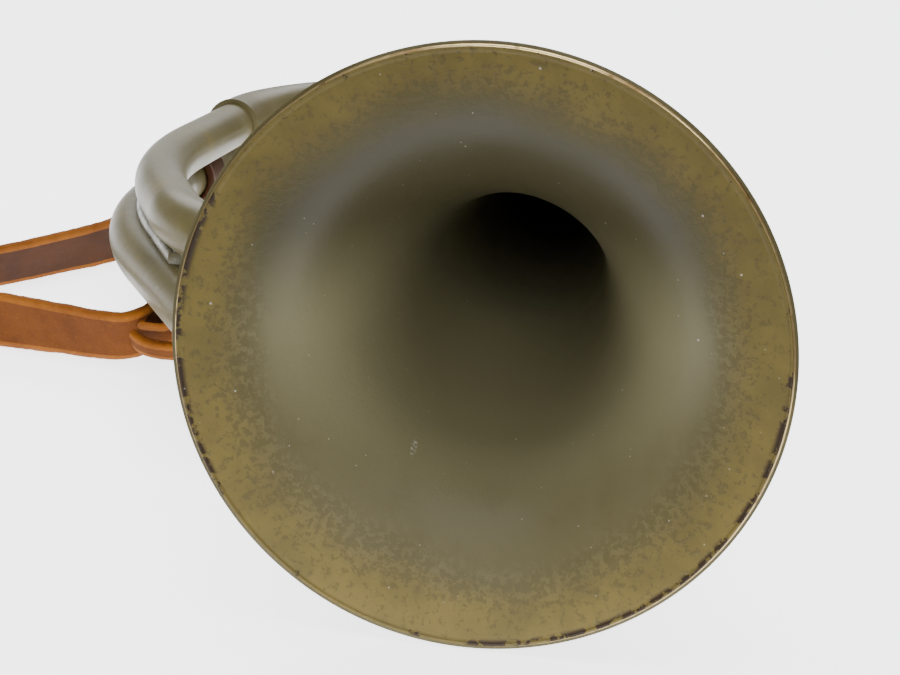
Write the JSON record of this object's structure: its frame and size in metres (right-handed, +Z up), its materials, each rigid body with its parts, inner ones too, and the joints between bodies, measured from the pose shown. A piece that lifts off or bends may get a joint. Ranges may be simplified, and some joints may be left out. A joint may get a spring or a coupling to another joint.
{
  "type": "signal horn",
  "caption": "Coiled brass signal horn lying on its side: flared bell, two nested turns of tube, pull-out mouthpiece and a leather carrying strap that swings.",
  "frame": {"origin": "middle of the base of the part as it lies on its side on a flat surface", "axes": "+Y from the mouth of the bell to the back, +Z up from the surface it lies on, the coil and strap towards -X"},
  "size_m": [0.2177, 0.314, 0.0968],
  "materials": {
    "bell_paint": "satin olive paint worn to an ochre ring at the rim",
    "olive_paint": "satin olive-drab paint",
    "solder_paint": "solder bead under satin paint",
    "mouthpiece_brass": "tarnished brass",
    "raw_brass": "plain wire",
    "leather": "undyed tan leather with raw cut edges"
  },
  "bodies": {
    "horn": {"bell": "bell_paint", "lead_front_stay": "olive_paint", "lead_pipe": "olive_paint", "lead_rear_stay": "olive_paint", "lead_sleeve": "olive_paint", "loop_solder": "solder_paint", "lower_loop_tube": "olive_paint", "lower_rear_bow": "olive_paint", "lower_side_sleeve": "olive_paint", "middle_front_sleeve": "olive_paint", "middle_rear_sleeve": "olive_paint", "middle_tube": "olive_paint", "mouthpiece_receiver": "olive_paint", "rear_bow_stay": "olive_paint", "rim_wire": "raw_brass", "stem_ferrule": "olive_paint", "stem_front_stay": "olive_paint", "stem_rear_stay": "olive_paint", "strap_front_leg": "leather", "strap_front_lock": "leather", "strap_front_wrap": "leather", "strap_rear_leg": "leather", "strap_rear_wrap": "leather", "upper_loop_tube": "olive_paint", "upper_rear_bow": "olive_paint", "upper_side_ferrule": "olive_paint"},
    "mouthpiece": {"mouthpiece": "mouthpiece_brass"},
    "strap": {"strap_loop": "leather"}
  },
  "joints": [
    {"name": "mouthpiece_pull", "type": "slide", "parent": "horn", "child": "mouthpiece", "axis": [-0.0166, 0.9998, -0.0051], "range_m": [0, 0.02]},
    {"name": "strap_swing", "type": "hinge", "parent": "horn", "child": "strap", "pos_m": [-0.06914, -0.01934, 0.0065], "axis": [0, 1, 0], "range_deg": [0, 90]}
  ]
}
